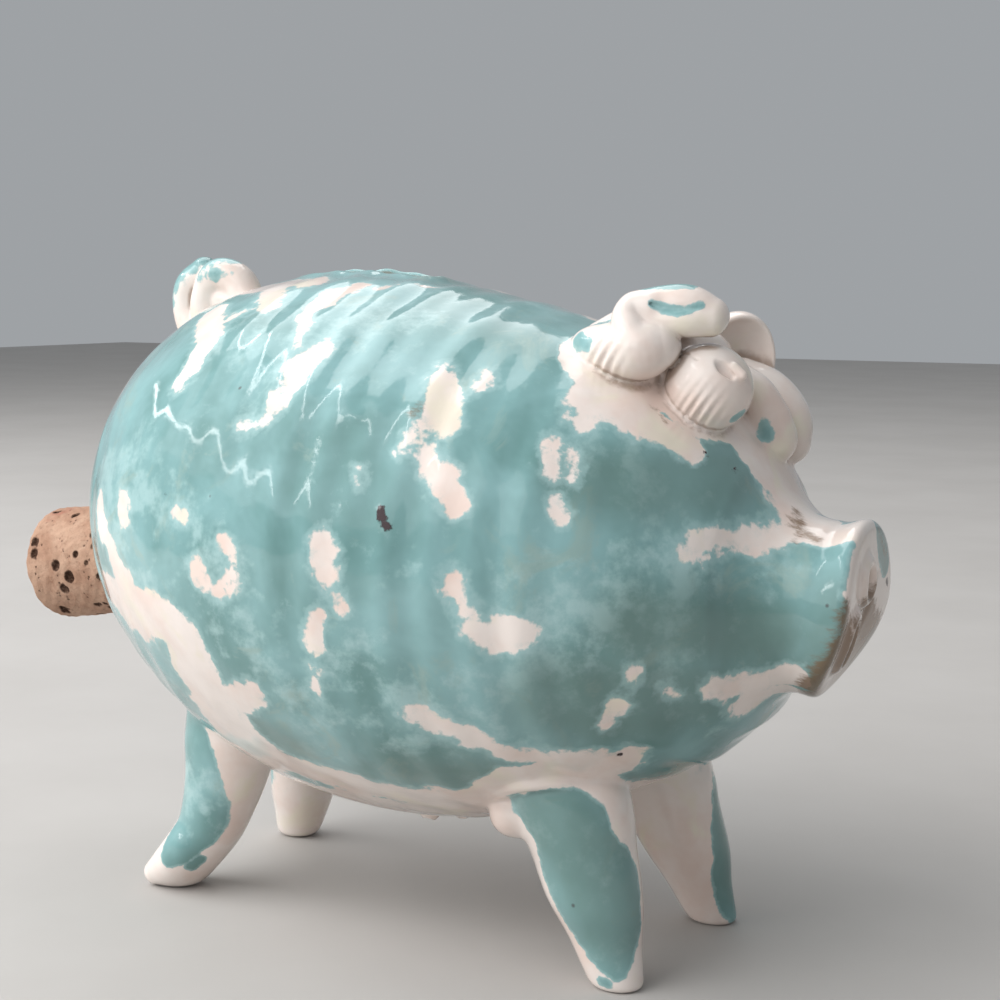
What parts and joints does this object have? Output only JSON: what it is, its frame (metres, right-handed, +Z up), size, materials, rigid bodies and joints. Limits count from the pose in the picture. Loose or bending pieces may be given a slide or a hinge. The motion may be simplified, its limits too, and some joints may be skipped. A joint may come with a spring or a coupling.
{
  "type": "figural animal coin bank",
  "caption": "Hand-built glazed pottery pig bank: hollow thrown body on legs, coin slot along the back and a tapered cork in a hole in the rump.",
  "frame": {"origin": "on the ground under the middle of the bank's overall box", "axes": "+X towards the snout, +Y the pig's left side, +Z up"},
  "size_m": [0.2454, 0.1326, 0.1653],
  "materials": {
    "teal_glaze": "gloss",
    "white_glaze": "gloss",
    "cork": "matte"
  },
  "bodies": {
    "bank": {"body_shell": "teal_glaze", "leg_front_right": "teal_glaze", "leg_rear_right": "teal_glaze", "leg_front_left": "teal_glaze", "leg_rear_left": "teal_glaze", "snout_disc": "white_glaze", "eye_right": "white_glaze", "eye_left": "white_glaze", "ear_right": "white_glaze", "ear_left": "white_glaze", "tail": "white_glaze"},
    "cork": {"cork_stopper": "cork"}
  },
  "joints": [
    {"name": "cork_pull", "type": "slide", "parent": "bank", "child": "cork", "axis": [-0.9903, 0, -0.1392], "range_m": [0, 0.06]}
  ]
}
